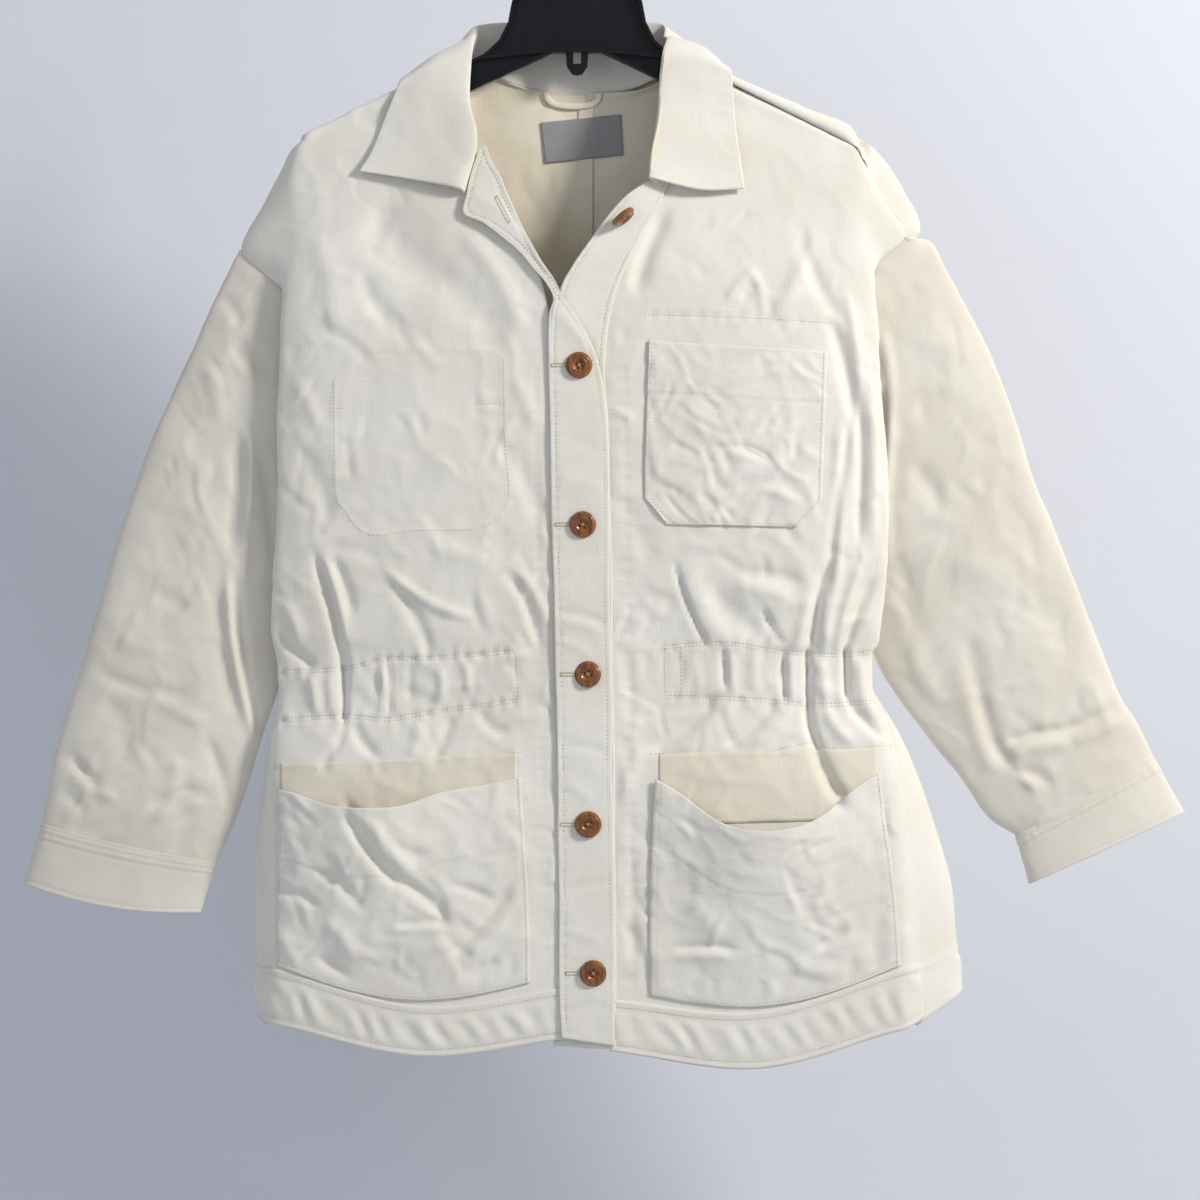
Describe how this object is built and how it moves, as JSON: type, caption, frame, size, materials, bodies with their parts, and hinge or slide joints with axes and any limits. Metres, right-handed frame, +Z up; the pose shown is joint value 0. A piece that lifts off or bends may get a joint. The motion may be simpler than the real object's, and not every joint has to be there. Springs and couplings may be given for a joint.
{
  "type": "chore jacket on a hanger",
  "caption": "Cream twill chore jacket with patch pockets, gathered waist, turned collar and cuffed sleeves, hung flat on a moulded plastic hanger.",
  "frame": {"origin": "top of the inside of the hanger's hook, where it rests on a rail", "axes": "+Z up, the front of the jacket faces -Y, +X is the wearer's left; y = 0 is the hanger's middle plane"},
  "size_m": [0.896, 0.0893, 0.9339],
  "materials": {
    "twill": "cream cotton twill, washed, matte",
    "label": "grey woven tape, blank",
    "horn": "polished amber-brown horn",
    "hanger": "moulded dark grey plastic, satin"
  },
  "bodies": {
    "root": {"right_front": "twill", "left_front": "twill", "back_right": "twill", "back_left": "twill", "hem_band_right_front": "twill", "hem_band_left_front": "twill", "hem_band_back": "twill", "right_sleeve": "twill", "left_sleeve": "twill", "right_cuff": "twill", "left_cuff": "twill", "collar": "twill", "placket_right": "twill", "placket_left": "twill", "chest_pocket_left": "twill", "chest_pocket_right": "twill", "lower_pocket_right": "twill", "lower_pocket_left": "twill", "neck_label": "label", "hang_loop": "twill", "button_1": "horn", "button_2": "horn", "button_3": "horn", "button_4": "horn", "button_5": "horn", "button_neck": "horn", "hanger": "hanger"}
  },
  "joints": []
}
